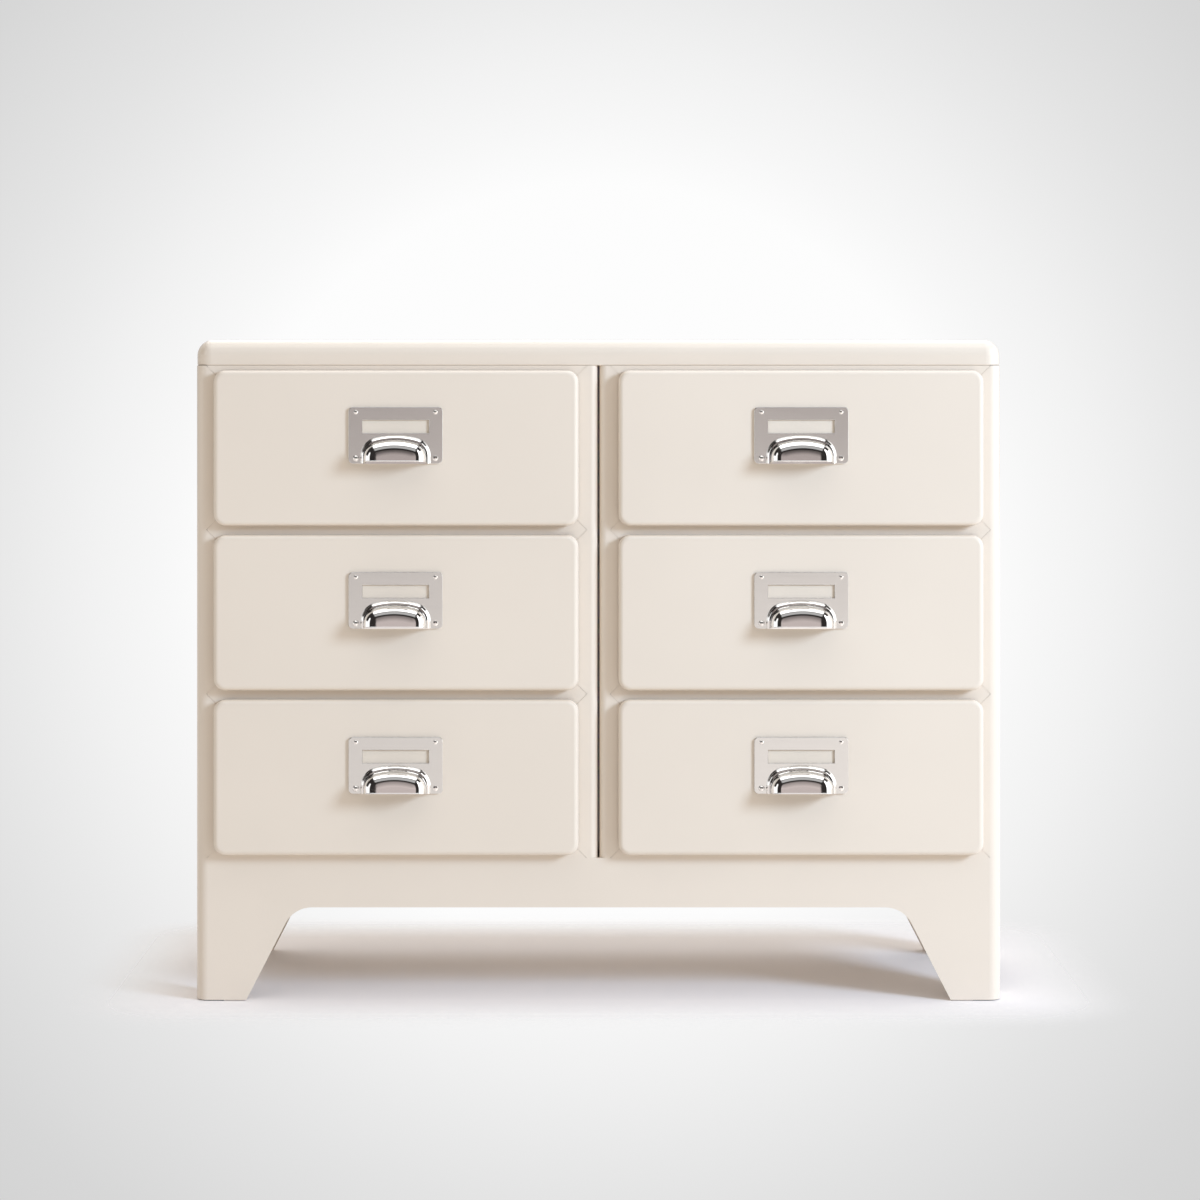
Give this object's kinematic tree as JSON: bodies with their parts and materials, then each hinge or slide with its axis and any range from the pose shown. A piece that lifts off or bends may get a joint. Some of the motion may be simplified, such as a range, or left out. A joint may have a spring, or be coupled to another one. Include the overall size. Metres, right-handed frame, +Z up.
{
  "type": "chest of drawers",
  "caption": "Low sheet-steel chest of drawers in two columns on an arched base, cream powder coat, with label-holder cup pulls.",
  "frame": {"origin": "middle of the footprint on the floor, the footprint being counted from the front of the cup pulls to the back of the body", "axes": "+X to the right as seen from the front, +Y to the back, +Z up; the drawers open towards -Y"},
  "size_m": [0.885, 0.3538, 0.726],
  "materials": {
    "cream_paint": "satin powder coat, cream",
    "satin_nickel": "brushed nickel plate",
    "bright_chrome": "polished chrome plate",
    "bright_nickel": "polished nickel plate",
    "zinc_steel": "zinc plated",
    "nylon": "natural nylon",
    "glide_plastic": "black moulded plastic",
    "card": "blank cream card"
  },
  "bodies": {
    "chest": {"top_cover": "cream_paint", "base_front_apron": "cream_paint", "base_rear_apron": "cream_paint", "base_left_side": "cream_paint", "base_right_side": "cream_paint", "base_deck": "cream_paint", "foot_glides": "glide_plastic", "joining_hardware": "zinc_steel", "left_outer_side": "cream_paint", "left_inner_side": "cream_paint", "left_back": "cream_paint", "left_frame_rails": "cream_paint", "left_runners": "zinc_steel", "right_outer_side": "cream_paint", "right_inner_side": "cream_paint", "right_back": "cream_paint", "right_frame_rails": "cream_paint", "right_runners": "zinc_steel"},
    "left_bottom_drawer": {"left_bottom_drawer_front": "cream_paint", "left_bottom_drawer_tray": "cream_paint", "left_bottom_drawer_slides": "nylon", "left_bottom_pull_plate": "satin_nickel", "left_bottom_cup_pull": "bright_chrome", "left_bottom_label_card": "card", "left_bottom_pull_screws": "bright_nickel"},
    "left_middle_drawer": {"left_middle_drawer_front": "cream_paint", "left_middle_drawer_tray": "cream_paint", "left_middle_drawer_slides": "nylon", "left_middle_pull_plate": "satin_nickel", "left_middle_cup_pull": "bright_chrome", "left_middle_label_card": "card", "left_middle_pull_screws": "bright_nickel"},
    "left_top_drawer": {"left_top_drawer_front": "cream_paint", "left_top_drawer_tray": "cream_paint", "left_top_drawer_slides": "nylon", "left_top_pull_plate": "satin_nickel", "left_top_cup_pull": "bright_chrome", "left_top_label_card": "card", "left_top_pull_screws": "bright_nickel"},
    "right_bottom_drawer": {"right_bottom_drawer_front": "cream_paint", "right_bottom_drawer_tray": "cream_paint", "right_bottom_drawer_slides": "nylon", "right_bottom_pull_plate": "satin_nickel", "right_bottom_cup_pull": "bright_chrome", "right_bottom_label_card": "card", "right_bottom_pull_screws": "bright_nickel"},
    "right_middle_drawer": {"right_middle_drawer_front": "cream_paint", "right_middle_drawer_tray": "cream_paint", "right_middle_drawer_slides": "nylon", "right_middle_pull_plate": "satin_nickel", "right_middle_cup_pull": "bright_chrome", "right_middle_label_card": "card", "right_middle_pull_screws": "bright_nickel"},
    "right_top_drawer": {"right_top_drawer_front": "cream_paint", "right_top_drawer_tray": "cream_paint", "right_top_drawer_slides": "nylon", "right_top_pull_plate": "satin_nickel", "right_top_cup_pull": "bright_chrome", "right_top_label_card": "card", "right_top_pull_screws": "bright_nickel"}
  },
  "joints": [
    {"name": "left_bottom_drawer_slide", "type": "slide", "parent": "chest", "child": "left_bottom_drawer", "axis": [0, -1, 0], "range_m": [0, 0.225]},
    {"name": "left_middle_drawer_slide", "type": "slide", "parent": "chest", "child": "left_middle_drawer", "axis": [0, -1, 0], "range_m": [0, 0.225]},
    {"name": "left_top_drawer_slide", "type": "slide", "parent": "chest", "child": "left_top_drawer", "axis": [0, -1, 0], "range_m": [0, 0.225]},
    {"name": "right_bottom_drawer_slide", "type": "slide", "parent": "chest", "child": "right_bottom_drawer", "axis": [0, -1, 0], "range_m": [0, 0.225]},
    {"name": "right_middle_drawer_slide", "type": "slide", "parent": "chest", "child": "right_middle_drawer", "axis": [0, -1, 0], "range_m": [0, 0.225]},
    {"name": "right_top_drawer_slide", "type": "slide", "parent": "chest", "child": "right_top_drawer", "axis": [0, -1, 0], "range_m": [0, 0.225]}
  ]
}
